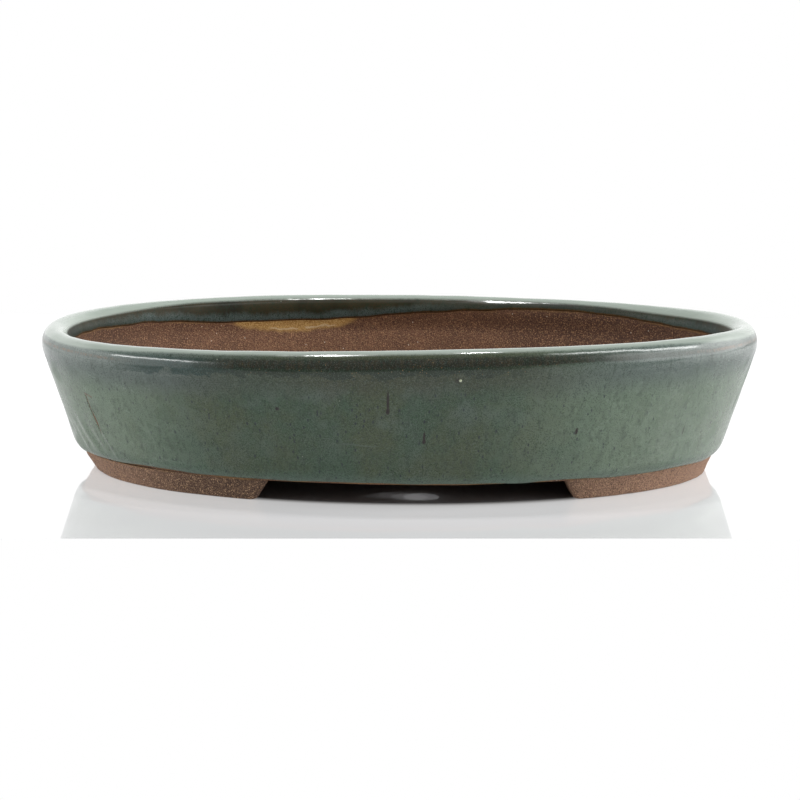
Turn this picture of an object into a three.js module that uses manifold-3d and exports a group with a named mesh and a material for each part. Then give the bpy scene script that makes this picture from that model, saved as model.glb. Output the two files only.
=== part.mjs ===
// An oval stoneware bonsai pot, slab-built and half glazed, in the pieces the potter joins:
// a floor slab with drain holes, one strip of wall luted round it, a coil worked into the inside
// corner, a thick coil for the lip, two C-shaped feet, and the glaze on the wall and on the lip.
//
// Millimetres, +Z up. The origin is on the table, under the middle of the pot.
// X runs along the pot, and the front is towards -Y.
//
// Every ring is described by its section: r is the distance outwards from the heel oval, which is
// the oval the wall stands on, and z is the height above the table.

import * as THREE from 'three';
import { mergeVertices } from 'three/addons/utils/BufferGeometryUtils.js';
import Module from 'manifold-3d';

// The pot as a whole.
const rimLength = 300;
const rimWidth = 228;
const potHeight = 62.5;
const footHeight = 8.2;
const flare = THREE.MathUtils.degToRad(17.6); // lean of the wall's outer face
const glazeThickness = 1;
const lutedGap = 0.3; // the thin seam left between two pieces that are joined

// The lip: a thick coil with a round top, glazed down to its widest line inside.
const lipReach = 16.4; // from the heel oval out to the lip's widest line
const lipOuterRadius = 5.4;
const lipInnerRadius = 6.2;
const lipRise = 7.7; // from the lip's widest line up to its crest
const lipSeatZ = 50; // where the coil sits on the wall, and the wall's glaze meets the lip's
const lipCrestR = lipReach - lipOuterRadius;
const lipWidestZ = potHeight - lipRise;

// The wall: its lower edge, the heel, curves in to meet the feet.
const wallTopThickness = 9;
const heelZ = footHeight + lutedGap;
const heelTurnZ = 11;
const heelTopZ = 13.5;
const heelSlope = 1.3; // how far the heel's edge moves inwards for each millimetre of depth
const heelLength = rimLength / 2 - lipReach; // the heel oval's half length and half width
const heelWidth = rimWidth / 2 - lipReach;

// The floor, the coil in its corner, and its drain holes.
const floorThickness = 8;
const floorEdgeR = -7;
const floorBottomZ = heelZ;
const floorTopZ = floorBottomZ + floorThickness;
const cornerCoilSize = 5;
const drainDiameter = 15;
const drainPlaces = [[88, 0], [-88, 0], [0, 75], [0, -75]];

// The feet: a low ring with a gap cut through it at the front and at the back.
const footWidth = 16;
const footTopR = -0.6;
const footTaper = 3.5; // how far the outer face draws in on its way down
const footRounding = 1;
const footGapLength = 114; // at the top of the feet
const footGapSpread = 4.5; // how far each cut end leans away on its way down

// The two ends of the wall strip meet at the seam, and the rim dips near it.
const seamAngle = THREE.MathUtils.degToRad(209);
const dipAngle = THREE.MathUtils.degToRad(215);
const rimDip = 4.8;
const dipNarrowness = 4.4;
const dipStartZ = 20;

// Fineness of the facets.
const ringSteps = 72;
const curveSteps = 3;
const drainSteps = 24;

// How far the dip lowers a point at this angle and height.
function dipAt(angle, z) {
  const share = THREE.MathUtils.clamp((z - dipStartZ) / (potHeight - dipStartZ), 0, 1);
  const nearness = (1 + Math.cos(angle - dipAngle)) / 2;
  return rimDip * share * nearness ** dipNarrowness;
}

// The point at this angle round the pot, r outwards from the heel oval, at height z.
function potPoint(angle, r, z) {
  const c = Math.cos(angle);
  const s = Math.sin(angle);
  const outwards = new THREE.Vector2(heelWidth * c, heelLength * s).setLength(r);
  return new THREE.Vector3(
    heelLength * c + outwards.x,
    heelWidth * s + outwards.y,
    z - dipAt(angle, z),
  );
}

// Carries a closed section round the pot. A whole turn joins up with itself, and anything less
// is capped at both ends.
function sweep(section, fromAngle = seamAngle, turn = 2 * Math.PI, steps = ringSteps) {
  const outline = section.getPoints(curveSteps);
  if (outline[0].distanceTo(outline.at(-1)) < 1e-6) outline.pop();
  if (THREE.ShapeUtils.isClockWise(outline)) outline.reverse();
  const count = outline.length;
  const wholeTurn = turn === 2 * Math.PI;
  const rings = wholeTurn ? steps : steps + 1;

  const positions = [];
  for (let i = 0; i < rings; i += 1) {
    const angle = fromAngle + (turn * i) / steps;
    for (const point of outline) {
      positions.push(...potPoint(angle, point.x, point.y));
    }
  }

  const triangles = [];
  for (let i = 0; i < steps; i += 1) {
    const here = i * count;
    const next = ((i + 1) % rings) * count;
    for (let j = 0; j < count; j += 1) {
      const k = (j + 1) % count;
      triangles.push(here + j, next + k, here + k);
      triangles.push(here + j, next + j, next + k);
    }
  }
  if (!wholeTurn) {
    const last = steps * count;
    for (const [a, b, c] of THREE.ShapeUtils.triangulateShape(outline, [])) {
      triangles.push(a, b, c);
      triangles.push(last + a, last + c, last + b);
    }
  }

  const geometry = new THREE.BufferGeometry();
  geometry.setAttribute('position', new THREE.Float32BufferAttribute(positions, 3));
  geometry.setIndex(triangles);
  geometry.computeVertexNormals();
  return geometry;
}

// Where the wall's straight face runs into the lip's round side, this deep under the glaze.
function lipTangent(depth) {
  const radius = lipOuterRadius - depth;
  const rise = lipRise - depth;
  const angle = Math.atan2(rise * Math.tan(flare), radius);
  return {
    angle,
    r: lipCrestR + radius * Math.cos(angle),
    z: lipWidestZ - rise * Math.sin(angle),
  };
}

// The wall's outer face at height z, this deep under the glaze.
function outerFaceR(z, depth) {
  const tangent = lipTangent(depth);
  return tangent.r - (tangent.z - z) * Math.tan(flare);
}

// The wall's inner face at height z: the wall is thicker at its foot than under the lip.
function innerFaceR(z) {
  const footR = floorEdgeR + lutedGap;
  const topR = outerFaceR(lipSeatZ, 0) - wallTopThickness;
  return THREE.MathUtils.mapLinear(z, floorTopZ, lipSeatZ, footR, topR);
}

// The curved heel, from its lower edge up to the wall's straight face.
function heelUp(outline, depth) {
  const topR = outerFaceR(heelTopZ, depth);
  outline.lineTo(-heelSlope * depth, heelZ);
  outline.quadraticCurveTo(outerFaceR(heelTurnZ, depth), heelTurnZ, topR, heelTopZ);
}

function heelDown(outline, depth) {
  outline.lineTo(outerFaceR(heelTopZ, depth), heelTopZ);
  outline.quadraticCurveTo(outerFaceR(heelTurnZ, depth), heelTurnZ, -heelSlope * depth, heelZ);
}

// The lip's round top, from the wall's outer face over the crest to the inside.
function lipOver(outline, depth) {
  const { angle } = lipTangent(depth);
  const outer = lipOuterRadius - depth;
  const inner = lipInnerRadius - depth;
  const rise = lipRise - depth;
  outline.absellipse(lipCrestR, lipWidestZ, outer, rise, -angle, Math.PI / 2, false);
  outline.absellipse(lipCrestR, lipWidestZ, inner, rise, Math.PI / 2, Math.PI, false);
}

function lipBack(outline, depth) {
  const { angle } = lipTangent(depth);
  const outer = lipOuterRadius - depth;
  const inner = lipInnerRadius - depth;
  const rise = lipRise - depth;
  outline.absellipse(lipCrestR, lipWidestZ, inner, rise, Math.PI, Math.PI / 2, true);
  outline.absellipse(lipCrestR, lipWidestZ, outer, rise, Math.PI / 2, -angle, true);
}

// A slab over the whole floor, pierced by the drain holes.
function floorSlab() {
  const edge = [];
  for (let i = 0; i < ringSteps; i += 1) {
    const point = potPoint((2 * Math.PI * i) / ringSteps, floorEdgeR, 0);
    edge.push(new THREE.Vector2(point.x, point.y));
  }
  const slab = new THREE.Shape(edge);
  for (const [x, y] of drainPlaces) {
    slab.holes.push(new THREE.Path().absarc(x, y, drainDiameter / 2, 0, 2 * Math.PI, true));
  }
  const geometry = new THREE.ExtrudeGeometry(slab, {
    depth: floorThickness,
    curveSegments: drainSteps / 2,
    bevelEnabled: false,
  });
  return geometry.translate(0, 0, floorBottomZ);
}

// One strip of clay bent round the floor, open by a hair at the seam where its ends meet.
function wallStrip() {
  const depth = glazeThickness + lutedGap;
  const topZ = lipSeatZ - lutedGap / 2;
  const outline = new THREE.Shape();
  outline.moveTo(floorEdgeR + lutedGap, heelZ);
  heelUp(outline, depth);
  outline.lineTo(outerFaceR(topZ, depth), topZ);
  outline.lineTo(innerFaceR(topZ), topZ);
  outline.lineTo(innerFaceR(floorTopZ), floorTopZ);
  const seam = lutedGap / heelWidth;
  return sweep(outline, seamAngle + seam / 2, 2 * Math.PI - seam);
}

// A soft coil pressed into the corner between floor and wall, smoothed to a hollow curve.
function cornerCoil() {
  const lowZ = floorTopZ + lutedGap;
  const highZ = lowZ + cornerCoilSize;
  const cornerR = innerFaceR(lowZ) - lutedGap;
  const outline = new THREE.Shape();
  outline.moveTo(cornerR - cornerCoilSize, lowZ);
  outline.lineTo(cornerR, lowZ);
  outline.lineTo(innerFaceR(highZ) - lutedGap, highZ);
  outline.quadraticCurveTo(cornerR, lowZ + lutedGap, cornerR - cornerCoilSize, lowZ);
  return sweep(outline);
}

function lipCoil() {
  const depth = glazeThickness + lutedGap;
  const seatZ = lipSeatZ + lutedGap / 2;
  const outline = new THREE.Shape();
  outline.moveTo(outerFaceR(seatZ, depth), seatZ);
  outline.lineTo(lipTangent(depth).r, lipTangent(depth).z);
  lipOver(outline, depth);
  outline.lineTo(innerFaceR(seatZ), seatZ);
  return sweep(outline);
}

function wallGlaze() {
  const topZ = lipSeatZ - lutedGap / 2;
  const outline = new THREE.Shape();
  outline.moveTo(-heelSlope * glazeThickness, heelZ);
  heelUp(outline, 0);
  outline.lineTo(outerFaceR(topZ, 0), topZ);
  outline.lineTo(outerFaceR(topZ, glazeThickness), topZ);
  heelDown(outline, glazeThickness);
  return sweep(outline);
}

function lipGlaze() {
  const lowZ = lipSeatZ + lutedGap / 2;
  const outline = new THREE.Shape();
  outline.moveTo(outerFaceR(lowZ, 0), lowZ);
  outline.lineTo(lipTangent(0).r, lipTangent(0).z);
  lipOver(outline, 0);
  lipBack(outline, glazeThickness);
  outline.lineTo(outerFaceR(lowZ, glazeThickness), lowZ);
  return sweep(outline);
}

function footSection() {
  const bottomR = footTopR - footTaper;
  const innerR = footTopR - footWidth;
  const outline = new THREE.Shape();
  outline.moveTo(footTopR, footHeight);
  outline.lineTo(innerR, footHeight);
  outline.lineTo(innerR, footRounding);
  outline.quadraticCurveTo(innerR, 0, innerR + footRounding, 0);
  outline.lineTo(bottomR - footRounding, 0);
  outline.quadraticCurveTo(bottomR, 0, bottomR, footRounding);
  return outline;
}

// The block that is cut out of the foot ring, from the front right through to the back.
function footGapBlock() {
  const margin = 1;
  const lean = footGapSpread / footHeight;
  const topX = footGapLength / 2 - margin * lean;
  const bottomX = footGapLength / 2 + footGapSpread + margin * lean;
  const outline = new THREE.Shape();
  outline.moveTo(-bottomX, -margin);
  outline.lineTo(bottomX, -margin);
  outline.lineTo(topX, footHeight + margin);
  outline.lineTo(-topX, footHeight + margin);
  const block = new THREE.ExtrudeGeometry(outline, { depth: rimWidth, bevelEnabled: false });
  return block.rotateX(Math.PI / 2).translate(0, rimWidth / 2, 0);
}

const wasm = await Module();
wasm.setup();

function toManifold(geometry) {
  const bare = geometry.clone();
  bare.deleteAttribute('normal');
  bare.deleteAttribute('uv');
  const merged = mergeVertices(bare);
  return new wasm.Manifold(new wasm.Mesh({
    numProp: 3,
    vertProperties: new Float32Array(merged.attributes.position.array),
    triVerts: new Uint32Array(merged.index.array),
  }));
}

function toGeometry(manifold) {
  const mesh = manifold.getMesh();
  const geometry = new THREE.BufferGeometry();
  geometry.setAttribute('position', new THREE.BufferAttribute(mesh.vertProperties, 3));
  geometry.setIndex(new THREE.BufferAttribute(mesh.triVerts, 1));
  geometry.computeVertexNormals();
  return geometry;
}

// Half of the foot ring, starting at this angle, less the gap at the front and the back.
function foot(fromAngle) {
  const half = sweep(footSection(), fromAngle, Math.PI, ringSteps / 2);
  return toGeometry(toManifold(half).subtract(toManifold(footGapBlock())));
}

const greenGlaze = new THREE.MeshStandardMaterial({ color: 0x4b5f4e, roughness: 0.15, metalness: 0 });
const paleGlaze = new THREE.MeshStandardMaterial({ color: 0x93a396, roughness: 0.12, metalness: 0 });
const brownClay = new THREE.MeshStandardMaterial({ color: 0x694b3c, roughness: 0.85, metalness: 0 });
const footClay = new THREE.MeshStandardMaterial({ color: 0x70574a, roughness: 0.85, metalness: 0 });

const pot = new THREE.Group();

function addPiece(name, geometry, material) {
  const piece = new THREE.Mesh(geometry, material);
  piece.name = name;
  pot.add(piece);
}

addPiece('floor_slab', floorSlab(), brownClay);
addPiece('wall_strip', wallStrip(), brownClay);
addPiece('corner_coil', cornerCoil(), brownClay);
addPiece('lip_coil', lipCoil(), brownClay);
addPiece('foot_right', foot(-Math.PI / 2), footClay);
addPiece('foot_left', foot(Math.PI / 2), footClay);
addPiece('wall_glaze', wallGlaze(), greenGlaze);
addPiece('lip_glaze', lipGlaze(), paleGlaze);

export default pot;
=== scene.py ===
"""The looks of an oval stoneware bonsai pot, slab-built and half glazed, round its CAD frame.

Shapes are worked out in millimetres and become metres when a mesh is made. Every ring is
described by its section: r is the distance outwards from the heel oval, which is the oval that
the wall stands on, and z is the height above the table. Angles run round the pot from its right
end, so that the front is at 270 degrees.
"""

import math

import bpy
import numpy as np
from mathutils import Matrix, Vector
from mathutils.geometry import delaunay_2d_cdt


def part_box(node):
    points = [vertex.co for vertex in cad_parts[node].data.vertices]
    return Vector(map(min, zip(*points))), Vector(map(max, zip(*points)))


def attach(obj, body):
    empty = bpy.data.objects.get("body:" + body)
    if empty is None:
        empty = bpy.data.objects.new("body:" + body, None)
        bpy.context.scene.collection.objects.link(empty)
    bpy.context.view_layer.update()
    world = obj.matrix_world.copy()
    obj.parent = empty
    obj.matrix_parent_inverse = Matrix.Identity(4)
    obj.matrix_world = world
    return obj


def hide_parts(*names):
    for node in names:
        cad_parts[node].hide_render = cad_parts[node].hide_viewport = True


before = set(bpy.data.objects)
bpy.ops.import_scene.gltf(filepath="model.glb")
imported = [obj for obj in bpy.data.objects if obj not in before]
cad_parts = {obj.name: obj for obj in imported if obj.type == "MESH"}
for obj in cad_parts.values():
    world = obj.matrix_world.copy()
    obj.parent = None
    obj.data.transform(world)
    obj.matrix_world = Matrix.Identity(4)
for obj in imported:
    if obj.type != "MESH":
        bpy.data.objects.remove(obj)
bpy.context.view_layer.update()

MM = 0.001


def corners(node):
    """The lowest and highest corners of a CAD node, in millimetres."""
    low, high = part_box(node)
    return low / MM, high / MM


lip_box = corners("lip_glaze")
wall_box = corners("wall_glaze")
floor_box = corners("floor_slab")
coil_box = corners("corner_coil")
foot_box = corners("foot_right")

# The pot as a whole.
POT_HEIGHT = lip_box[1].z
FOOT_HEIGHT = foot_box[1].z
FLOOR_BOTTOM = floor_box[0].z
FLOOR_TOP = floor_box[1].z
LUTED_GAP = FLOOR_BOTTOM - FOOT_HEIGHT
SEAT_Z = wall_box[1].z + LUTED_GAP / 2
FLARE = math.tan(math.radians(17.6))
LIP_REACH = 16.4
HEEL_LENGTH = lip_box[1].x - LIP_REACH
HEEL_WIDTH = lip_box[1].y - LIP_REACH
COAT = 0.5  # thickness of the glaze

# The lip's round top and the wall under it.
LIP_OUTER = 5.4
LIP_INNER = 6.2
LIP_RISE = 7.7
CREST_R = LIP_REACH - LIP_OUTER
WIDEST_Z = POT_HEIGHT - LIP_RISE
WALL_THICKNESS = 9.0
HEEL_TURN = 11.0
HEEL_TOP = 13.5
HEEL_SLOPE = 1.3  # how far the heel's edge moves inwards for each millimetre of depth
FLOOR_EDGE_R = floor_box[1].x - HEEL_LENGTH
LIP_ROOT = 4.0  # how far the lip's inside is smoothed down into the wall, below the seat

# The floor's drain holes: one pair along the pot, one pair across it.
DRAIN_RADIUS = 7.5
DRAIN_OUT_X = 88.0
DRAIN_OUT_Y = 75.0
DRAIN_ROUNDING = 1.0

# The feet.
FOOT_TOP_R = foot_box[1].x - HEEL_LENGTH
FOOT_WIDTH = 16.0
FOOT_TAPER = 3.5
FOOT_ROUNDING = 0.9
FOOT_CORNER = 3.0
LEFT_LEAN = 2.2  # how much more the left foot leans in at the pot's left end
LEAN_ANGLE = math.radians(187)
LEAN_REACH = math.radians(22)
GAP_HALF = foot_box[0].x
GAP_SPREAD = 4.5

# The rim dips near the seam where the ends of the wall strip were joined.
DIP_ANGLE = math.radians(215)
RIM_DIP = 4.8
DIP_NARROWNESS = 4.4
DIP_START = 20.0

# Where the glaze ends: a little above the heel outside, and a wavy line inside the lip.
OUTER_EDGE_Z = 9.05
OUTER_EDGE_WAVE = 0.4
OUTER_EDGE_SLANT = 0.4
INNER_EDGE_Z = 54.0
INNER_EDGE_REACH = math.radians(24)
INNER_PEAK = math.radians(56)
INNER_PEAK_HEIGHT = 3.7
INNER_RUN = math.radians(112)
INNER_RUN_DEPTH = 3.0
EDGE_ROLL = 0.8  # length over which the coat rounds off at its edge
EDGE_SWELLING = 0.14  # how much thicker the coat is just behind its edge
COAT_SINK = 0.08  # how far the coat's underside lies in the clay

# Small marks on the glaze. A place is (angle in degrees, height).
SCAR_ANGLE = 208.0
SCAR_TOP = 38.6
SCAR_MIDDLE = 26.0
SCAR_END = 12.5
CREASE = (260.2, 25.2)
BEAD = (275.0, 51.6)
BEAD_RADIUS = 0.65
PINHOLE = (247.7, 39.9)
PINHOLE_RADIUS = 0.5
STAIN_ANGLE = 108.5
STAIN_HALF_WIDTH = 12.5
STAIN_BOTTOM = 46.6

# Dark runs in the glaze, as (place, half width, half height).
DARK_RUNS = [
    ((264.5, 43.5), 0.6, 5.5),
    ((264.5, 39.4), 0.95, 1.7),
    ((270.1, 28.6), 0.6, 3.0),
    ((270.1, 26.8), 0.95, 1.3),
    ((294.8, 29.4), 0.7, 1.8),
    ((319.2, 25.4), 0.5, 2.8),
]

# Fineness of the meshes.
RING_STEPS = 960
COAT_STEP = 0.55
CLAY_STEP = 0.9
FLOOR_STEP = 2.6
HOLE_STEPS = 72
FLOOR_EDGE_STEPS = 300

FAR_FROM_EDGE = 50.0  # the glaze's distance, where there is none near


# ------------ shape of the pot

def smooth(value, start, end):
    """0 up to start, 1 from end on, and an even ease between them."""
    t = np.clip((value - start) / (end - start), 0, 1)
    return t * t * (3 - 2 * t)


def apart(angle, place):
    """How far angle is from place, the short way round."""
    return (angle - place + math.pi) % (2 * math.pi) - math.pi


def dip(angle, z):
    """How far the dip lowers a point at this angle and height."""
    share = np.clip((z - DIP_START) / (POT_HEIGHT - DIP_START), 0, 1)
    nearness = (1 + np.cos(angle - DIP_ANGLE)) / 2
    return RIM_DIP * share * nearness ** DIP_NARROWNESS


def pot_point(angle, r, z):
    """The point at this angle round the pot, r outwards from the heel oval, at height z."""
    c, s = np.cos(angle), np.sin(angle)
    stretch = r / np.hypot(HEEL_WIDTH * c, HEEL_LENGTH * s)
    x = HEEL_LENGTH * c + HEEL_WIDTH * c * stretch
    y = HEEL_WIDTH * s + HEEL_LENGTH * s * stretch
    return np.stack([x, y, z - dip(angle, z)], axis=-1)


def across(angle, place_degrees):
    """Distance round the wall from a place, near that place."""
    place = math.radians(place_degrees)
    here = pot_point(place, LIP_REACH / 2, WIDEST_Z / 2)
    nearby = pot_point(place + 0.01, LIP_REACH / 2, WIDEST_Z / 2)
    return apart(angle, place) * np.linalg.norm(nearby - here) / 0.01


def degree_width(place_degrees):
    """The width of one degree of the wall, near a place."""
    return float(across(math.radians(place_degrees + 1), place_degrees))


def bezier(points, count):
    """Points along the curve with these control points."""
    t = np.linspace(0, 1, count)[:, None]
    points = [np.array(point, float) for point in points]
    while len(points) > 1:
        points = [a * (1 - t) + b * t for a, b in zip(points, points[1:])]
    return points[0]


def lip_tangent(depth):
    """Where the wall's straight face runs into the lip's round side, this deep in the clay."""
    radius, rise = LIP_OUTER - depth, LIP_RISE - depth
    angle = math.atan2(rise * FLARE, radius)
    return angle, CREST_R + radius * math.cos(angle), WIDEST_Z - rise * math.sin(angle)


def outer_face_r(z, depth):
    _, tangent_r, tangent_z = lip_tangent(depth)
    return tangent_r - (tangent_z - z) * FLARE


def inner_face_r(z):
    top_r = outer_face_r(SEAT_Z, 0) - WALL_THICKNESS
    share = (z - FLOOR_TOP) / (SEAT_Z - FLOOR_TOP)
    return FLOOR_EDGE_R + share * (top_r - FLOOR_EDGE_R)


class Skin:
    """The clay's section as one line, from under the heel, over the lip, to the floor inside."""

    def __init__(self):
        low_angle, tangent_r, tangent_z = lip_tangent(COAT)
        heel_start = (-HEEL_SLOPE * COAT, FLOOR_BOTTOM)
        heel_turn = (outer_face_r(HEEL_TURN, COAT), HEEL_TURN)
        heel_end = (outer_face_r(HEEL_TOP, COAT), HEEL_TOP)
        spring = (CREST_R - LIP_INNER + COAT, WIDEST_Z)
        root_z = SEAT_Z - LIP_ROOT
        root_turn = SEAT_Z - LIP_ROOT / 4
        root = [
            spring,
            (spring[0], (spring[1] + SEAT_Z) / 2),
            (inner_face_r(root_turn), root_turn),
            (inner_face_r(root_z), root_z),
        ]
        stretches = [
            bezier([heel_start, heel_turn, heel_end], 40),
            bezier([heel_end, (tangent_r, tangent_z)], 160),
            self.quarter(LIP_OUTER - COAT, -low_angle, math.pi / 2),
            self.quarter(LIP_INNER - COAT, math.pi / 2, math.pi),
            bezier(root, 60),
            bezier([root[-1], (inner_face_r(FLOOR_TOP), FLOOR_TOP)], 120),
        ]
        points = np.concatenate([stretch[1:] for stretch in stretches])
        steps = np.hypot(*np.diff(points, axis=0).T)
        self.along = np.concatenate([[0], np.cumsum(steps)])
        self.points = points
        tangents = np.gradient(points, self.along, axis=0)
        tangents /= np.hypot(*tangents.T)[:, None]
        self.normals = np.stack([tangents[:, 1], -tangents[:, 0]], axis=1)
        self.crest = self.along[np.argmax(points[:, 1])]
        self.end = self.along[-1]

    @staticmethod
    def quarter(radius, start, end):
        turn = np.linspace(start, end, 80)
        return np.stack(
            [CREST_R + radius * np.cos(turn), WIDEST_Z + (LIP_RISE - COAT) * np.sin(turn)],
            axis=1,
        )

    def at(self, along):
        """r, z and the outward normal's r and z at this distance along the skin."""
        columns = [*self.points.T, *self.normals.T]
        return [np.interp(along, self.along, column) for column in columns]

    def outside(self, z):
        """Distance along the skin at which its outer side is z high."""
        upward = self.along <= self.crest
        return np.interp(z, self.points[upward, 1], self.along[upward])

    def inside(self, z):
        """Distance along the skin at which its inner side is z high."""
        downward = self.along >= self.crest
        return np.interp(-z, -self.points[downward, 1], self.along[downward])


skin = Skin()


def waves(angle, height, seed, longest, shortest, count=24):
    """An even, seeded unevenness of about -1 to 1, with waves of these lengths in mm."""
    random = np.random.default_rng(seed)
    around = math.pi * (HEEL_LENGTH + HEEL_WIDTH)
    total = 0
    for _ in range(count):
        length = math.exp(random.uniform(math.log(shortest), math.log(longest)))
        slant = random.uniform(0, math.pi)
        turns = round(around / length * math.cos(slant))
        climb = 2 * math.pi / length * math.sin(slant)
        phase = random.uniform(0, 2 * math.pi)
        total = total + np.cos(turns * angle + climb * height + phase)
    return total / math.sqrt(count)


def hand_made(angle, along):
    """How far the clay stands proud of the true shape, from being built by hand."""
    slow = 0.22 * waves(angle, along, 3, 180, 45)
    quick = 0.05 * waves(angle, along, 4, 30, 11)
    return slow + quick


def scar_drift(z):
    """How far the scar strays from its own angle: it leans over, more so near the heel."""
    below = np.minimum(z - SCAR_MIDDLE, 0)
    return -0.18 * (z - SCAR_MIDDLE) + 0.0145 * below**2 + 0.3 * np.sin(z / 1.9)


def seam_folds(angle, z):
    """The slit, its raised side and the folds where the two ends of the strip were joined,
    and a shallow crease near the middle of the front."""
    x = across(angle, SCAR_ANGLE) - scar_drift(z)
    opening = smooth(z, SCAR_MIDDLE - 6, SCAR_MIDDLE - 2) * smooth(z, SCAR_TOP + 0.5, SCAR_TOP - 1)
    wide = 0.3 + 0.3 * np.exp(-(((z - SCAR_MIDDLE) / 3.5) ** 2))
    slit = -0.45 * opening * np.exp(-((x / wide) ** 2))
    beside = np.exp(-(((x - 0.9) / 0.6) ** 2))
    raised = 0.22 * smooth(z, SCAR_END - 2, SCAR_END) * smooth(z, 37, 25) * beside
    low = smooth(z, 30, 20) * smooth(z, 10, 15)
    window = smooth(x, -34, -24) * smooth(x, -2, -7)
    folds = 0.16 * low * window * (np.sin((x + 0.35 * z) / 1.5) + np.sin((x + 0.1 * z) / 2.7))
    crease_x = across(angle, CREASE[0]) / 8
    crease_z = z - CREASE[1] + 0.4 * np.sin(crease_x * 2.5)
    crease = 0.1 * smooth(abs(crease_x), 1.1, 0.8) * np.exp(-((crease_z / 0.5) ** 2))
    return slit + raised + folds + crease


def glaze_spots(angle, z):
    """The bead of glaze under the rim and the pinhole below it."""
    bead = np.hypot(across(angle, BEAD[0]), z - BEAD[1]) / BEAD_RADIUS
    raised = 0.75 * BEAD_RADIUS * np.sqrt(np.clip(1 - bead**2, 0, 1))
    dent = np.hypot(across(angle, PINHOLE[0]), z - PINHOLE[1]) / PINHOLE_RADIUS
    return raised - 0.45 * np.exp(-(dent**2))


def outer_edge(angle):
    """Distance along the skin at which the outer glaze ends."""
    wave = OUTER_EDGE_WAVE * waves(angle, 0, 7, 140, 16)
    return skin.outside(OUTER_EDGE_Z - OUTER_EDGE_SLANT * np.cos(angle) + wave)


def inner_edge(angle):
    """Distance along the skin at which the glaze ends inside the lip."""
    peak = INNER_PEAK_HEIGHT * np.exp(-((apart(angle, INNER_PEAK) / INNER_EDGE_REACH) ** 2))
    run = INNER_RUN_DEPTH * np.exp(-((apart(angle, INNER_RUN) / INNER_EDGE_REACH) ** 2))
    wave = 0.35 * waves(angle, 0, 8, 90, 14)
    return skin.inside(INNER_EDGE_Z + peak - run + wave)


def ring_angles():
    """Angles round the pot, closer together at the marks that need a fine mesh."""
    sample = np.linspace(0, 2 * math.pi, 14401)
    density = np.ones_like(sample)
    for place, fineness, spread in ((SCAR_ANGLE, 2.5, 4), (BEAD[0], 3, 0.7), (PINHOLE[0], 3, 0.5)):
        off = apart(sample, math.radians(place)) / math.radians(spread)
        density += fineness * np.exp(-(off**2))
    share = np.concatenate([[0], np.cumsum((density[1:] + density[:-1]) / 2)])
    return np.interp(np.arange(RING_STEPS) / RING_STEPS, share / share[-1], sample)


ANGLES = ring_angles()


def surface(angle, along, lift):
    """The point at this angle and distance along the skin, lifted off it along its normal."""
    r, z, normal_r, normal_z = skin.at(along)
    lift = lift + hand_made(angle, along)
    lift = lift + np.where(along < skin.crest, seam_folds(angle, z), 0)
    return pot_point(angle, r + normal_r * lift, z + normal_z * lift)


# ------------ meshes

def make_piece(name, points, faces, fields, material, node):
    """A mesh from points in mm, which rides on the pot's one body and stands for a CAD node."""
    mesh = bpy.data.meshes.new(name)
    mesh.from_pydata((np.asarray(points) * MM).tolist(), [], faces)
    for field, values in fields.items():
        attribute = mesh.attributes.new(field, "FLOAT", "POINT")
        attribute.data.foreach_set("value", np.asarray(values, np.float32).ravel())
    mesh.validate()
    mesh.shade_smooth()
    mesh.set_sharp_from_angle(angle=math.radians(50))
    mesh.materials.append(material)
    piece = bpy.data.objects.new(name, mesh)
    bpy.context.scene.collection.objects.link(piece)
    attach(piece, "root")
    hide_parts(node)
    return piece


def ring_faces(rings, rows):
    """Quads of a closed ring of closed sections."""
    ring, row = np.meshgrid(np.arange(rings), np.arange(rows), indexing="ij")
    next_ring, next_row = (ring + 1) % rings, (row + 1) % rows
    quads = [ring * rows + row, next_ring * rows + row,
             next_ring * rows + next_row, ring * rows + next_row]
    return np.stack(quads, axis=-1).reshape(-1, 4).tolist()


def turn_fields(angle):
    return {"turn_x": np.cos(angle), "turn_y": np.sin(angle)}


def coat(name, start, end, rolls_at_start, rolls_at_end, material, node):
    """A coat of glaze over the skin, from start to end along it, rolled over at a free edge."""
    rows = int(np.mean(end - start) / COAT_STEP)
    share = np.linspace(0, 1, rows)[None, :]
    under_share = np.linspace(1, 0, rows // 6)[None, :]
    angle = ANGLES[:, None]
    along = start[:, None] + (end - start)[:, None] * share
    under = start[:, None] + (end - start)[:, None] * under_share
    edge = np.full_like(along, 1e3)
    if rolls_at_start:
        edge = np.minimum(edge, along - start[:, None])
    if rolls_at_end:
        edge = np.minimum(edge, end[:, None] - along)
    rounding = np.sqrt(1 - (1 - np.clip(edge / EDGE_ROLL, 0, 1)) ** 2)
    swelling = EDGE_SWELLING * np.exp(-(((edge - 2.2) / 1.6) ** 2))
    z = skin.at(along)[1]
    spots = np.where(along < skin.crest, glaze_spots(angle, z), 0)
    top = surface(angle, along, COAT * rounding + swelling + spots)
    bottom = surface(angle, under, -COAT_SINK)
    points = np.concatenate([top, bottom], axis=1)
    count = points.shape[1]
    both = np.concatenate([along, under], axis=1)
    whole_angle = np.broadcast_to(angle, both.shape)
    fields = turn_fields(whole_angle)
    fields["rise"] = skin.at(both)[1]
    fields["edge"] = np.concatenate([edge, np.zeros_like(under)], axis=1)
    fields["inside"] = smooth(both, skin.crest - 1.5, skin.crest + 4)
    faces = ring_faces(RING_STEPS, count)
    return make_piece(name, points.reshape(-1, 3), faces, fields, material, node)


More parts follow.
